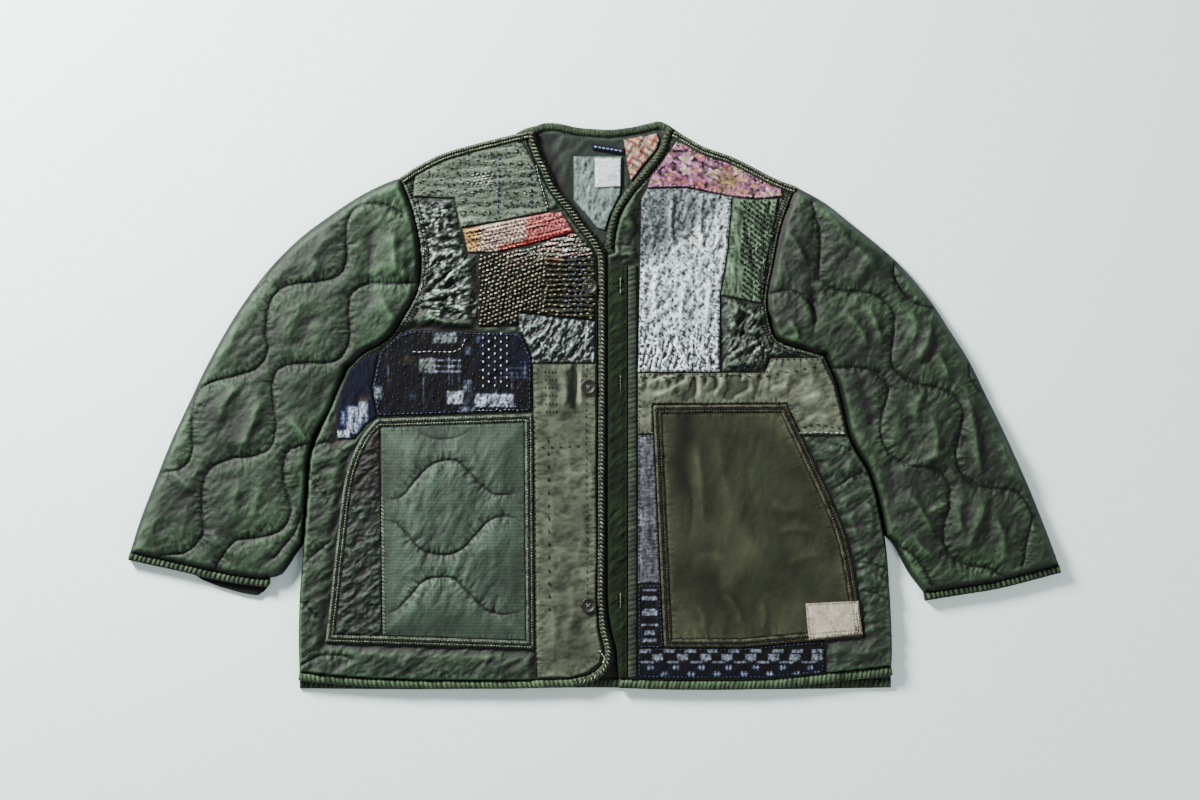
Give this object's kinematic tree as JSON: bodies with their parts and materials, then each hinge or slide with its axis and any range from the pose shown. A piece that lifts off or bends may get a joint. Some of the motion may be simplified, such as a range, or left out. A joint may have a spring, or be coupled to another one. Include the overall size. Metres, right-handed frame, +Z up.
{
  "type": "patched quilted jacket",
  "caption": "Collarless quilted jacket laid flat with its front closed, covered in stitched cotton and nylon patches, with patch pockets, bound edges and wide three-quarter sleeves.",
  "frame": {"origin": "middle of the jacket's box, on the surface that it lies on", "axes": "+X across the jacket to the viewer's right, the wearer's left; +Y up the jacket to its collar; +Z up off the surface"},
  "size_m": [1.1002, 0.6708, 0.0247],
  "materials": {
    "nylon_green": "soft satin nylon, quilted",
    "nylon_dark": "dark satin nylon",
    "lining_green": "nylon lining",
    "binding_green": "matt sewn binding",
    "sage_cotton": "matt, stitched",
    "madder_cotton": "matt, stitched",
    "brown_cotton": "matt, darned",
    "blue_green_nylon": "crinkled satin",
    "indigo_cotton": "matt, stitched",
    "khaki_cotton": "matt",
    "floral_cotton": "matt print",
    "silver_cloth": "soft sheen",
    "darned_green": "matt, darned",
    "olive_cotton": "matt",
    "mauve_cotton": "matt",
    "pocket_nylon": "satin nylon, quilted",
    "grey_denim": "matt twill",
    "label_white": "matt woven label",
    "petal_print": "matt print",
    "loop_navy": "woven tape",
    "button_brown": "satin"
  },
  "bodies": {
    "root": {"back": "lining_green", "neck_binding_back": "binding_green", "hem_binding_back": "binding_green", "front_right": "nylon_green", "front_left": "nylon_green", "binding_right": "binding_green", "neck_binding_left": "binding_green", "hem_binding_left": "binding_green", "sleeve_right": "nylon_green", "cuff_right": "binding_green", "sleeve_left": "nylon_dark", "cuff_left": "binding_green", "patch_sage": "sage_cotton", "patch_madder": "madder_cotton", "patch_darned_right": "brown_cotton", "patch_crinkled": "blue_green_nylon", "patch_indigo": "indigo_cotton", "patch_indigo_tail": "indigo_cotton", "patch_khaki_strip": "khaki_cotton", "patch_floral": "floral_cotton", "patch_silver": "silver_cloth", "patch_darned_left": "darned_green", "patch_khaki_band": "khaki_cotton", "patch_mauve": "mauve_cotton", "patch_kasuri_upright": "indigo_cotton", "patch_kasuri_band": "indigo_cotton", "shoulder_tape_right": "binding_green", "shoulder_tape_left": "binding_green", "buttonhole_band": "nylon_dark", "edge_rib_left": "binding_green", "pocket_border_right": "pocket_nylon", "pocket_panel_right": "pocket_nylon", "pocket_facing_right": "nylon_dark", "pocket_border_left": "olive_cotton", "pocket_panel_left": "olive_cotton", "pocket_label": "label_white", "neck_patch_denim": "grey_denim", "neck_label": "label_white", "neck_patch_petal": "petal_print", "hanger_loop": "loop_navy", "button_1": "button_brown", "button_2": "button_brown", "button_3": "button_brown"}
  },
  "joints": []
}
